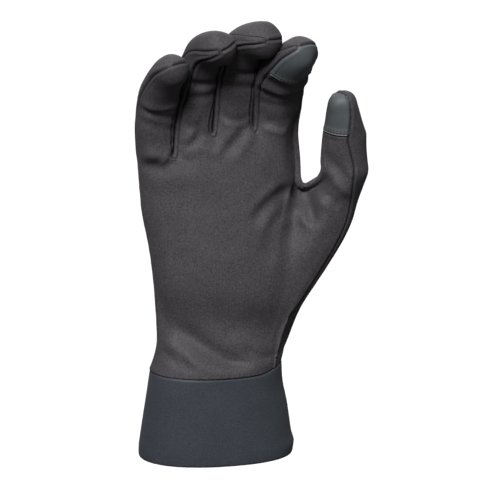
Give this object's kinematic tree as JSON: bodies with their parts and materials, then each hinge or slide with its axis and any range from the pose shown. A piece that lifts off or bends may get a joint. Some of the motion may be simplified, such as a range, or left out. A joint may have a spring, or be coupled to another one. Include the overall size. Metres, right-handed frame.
{
  "type": "knit glove",
  "caption": "Right-hand stretch-knit glove, fingers gently curled, with smooth touch patches on index finger and thumb and a wide flared cuff.",
  "frame": {"origin": "centre of the cuff's rim, where the wrist goes in", "axes": "+Z from the cuff to the fingertips, -Y out of the palm, +X to the thumb"},
  "size_m": [0.1284, 0.069, 0.2471],
  "materials": {
    "knit": "stretch knit with a soft sheen",
    "patch": "smooth matt",
    "cuff_cloth": "smooth, fine grained"
  },
  "bodies": {
    "root": {"palm_panel": "knit", "back_panel": "knit", "fourchette_little_ring": "knit", "fourchette_ring_middle": "knit", "fourchette_middle_index": "knit", "thumb_gusset": "knit", "index_touch_patch": "patch", "thumb_touch_patch": "patch", "cuff": "cuff_cloth"}
  },
  "joints": []
}
